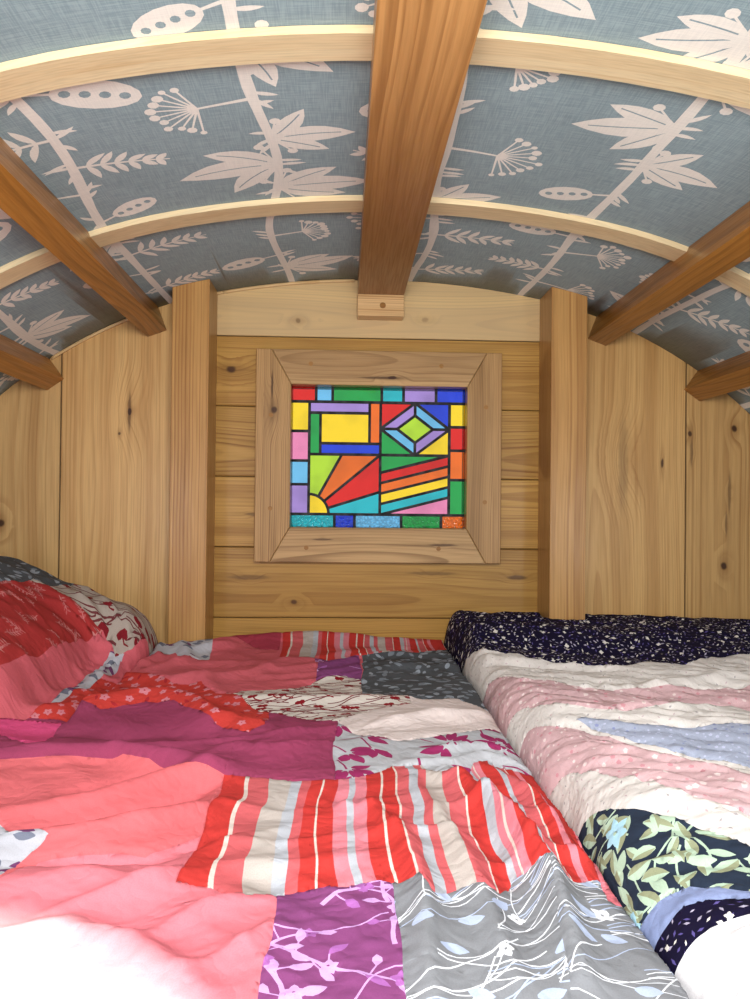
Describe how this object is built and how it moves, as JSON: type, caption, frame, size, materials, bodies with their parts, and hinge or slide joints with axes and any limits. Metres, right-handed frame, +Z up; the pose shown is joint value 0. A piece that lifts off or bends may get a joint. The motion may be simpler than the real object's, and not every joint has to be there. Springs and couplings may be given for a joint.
{
  "type": "bed end of a bow-top wagon",
  "caption": "Bed end of a bow-top living wagon: matchboarded end wall with a leaded window, bow roof, low boarded sides, floor, slatted cross bed and bedding, open in front.",
  "frame": {"origin": "middle of the underside, halfway between the open front and the outside of the end wall's trim", "axes": "+X across the wagon to the right, +Y towards the end wall, +Z up"},
  "size_m": [1.9054, 1.34, 1.8811],
  "materials": {
    "oiled_pine": "oiled sawn and planed pine with knots",
    "painted_wood": "painted underframe timber",
    "outside_paint": "gloss paint on outside trim",
    "floor_wood": "planed boards",
    "canvas": "waterproofed cotton canvas over felt",
    "lining_cloth": "printed linen weave",
    "lead": "dull lead",
    "mattress_ticking": "woven ticking",
    "patchwork_cotton": "printed cotton patchwork",
    "glass_red": "coloured sheet glass",
    "glass_sky": "coloured sheet glass",
    "glass_green": "coloured sheet glass",
    "glass_turquoise": "coloured sheet glass",
    "glass_violet": "coloured sheet glass",
    "glass_blue": "coloured sheet glass",
    "glass_orange": "coloured sheet glass",
    "glass_pink": "coloured sheet glass",
    "glass_yellow": "coloured sheet glass",
    "glass_lime": "coloured sheet glass"
  },
  "bodies": {
    "root": {"bed_front_beam": "oiled_pine", "bed_ledger": "oiled_pine", "bed_legs": "oiled_pine", "bed_middle_beam": "oiled_pine", "bed_slats": "oiled_pine", "bow_1": "oiled_pine", "bow_2": "oiled_pine", "bow_3": "oiled_pine", "corner_boards": "outside_paint", "crown_board": "outside_paint", "duvet": "patchwork_cotton", "floor_bearers": "painted_wood", "floor_boards": "floor_wood", "frame_head": "oiled_pine", "frame_side_left": "oiled_pine", "frame_side_right": "oiled_pine", "frame_sill": "oiled_pine", "glazing_beads": "oiled_pine", "lead_cames": "lead", "mattress": "mattress_ticking", "outer_frame": "outside_paint", "panes_blue": "glass_blue", "panes_green": "glass_green", "panes_lime": "glass_lime", "panes_orange": "glass_orange", "panes_pink": "glass_pink", "panes_red": "glass_red", "panes_sky": "glass_sky", "panes_turquoise": "glass_turquoise", "panes_violet": "glass_violet", "panes_yellow": "glass_yellow", "pillow": "patchwork_cotton", "purlin_lower_left": "oiled_pine", "purlin_lower_right": "oiled_pine", "purlin_upper_left": "oiled_pine", "purlin_upper_right": "oiled_pine", "quilt": "patchwork_cotton", "ridge_beam": "oiled_pine", "ridge_cleat": "oiled_pine", "roof_canvas": "canvas", "roof_lining": "lining_cloth", "side_batten_left": "outside_paint", "side_batten_right": "outside_paint", "side_boards_left": "oiled_pine", "side_boards_right": "oiled_pine", "side_posts_left": "oiled_pine", "side_posts_right": "oiled_pine", "side_rail_left": "oiled_pine", "side_rail_right": "oiled_pine", "sill_left": "painted_wood", "sill_right": "painted_wood", "wall_boards_centre": "oiled_pine", "wall_boards_left": "oiled_pine", "wall_boards_right": "oiled_pine", "wall_post_left": "oiled_pine", "wall_post_right": "oiled_pine"}
  },
  "joints": []
}
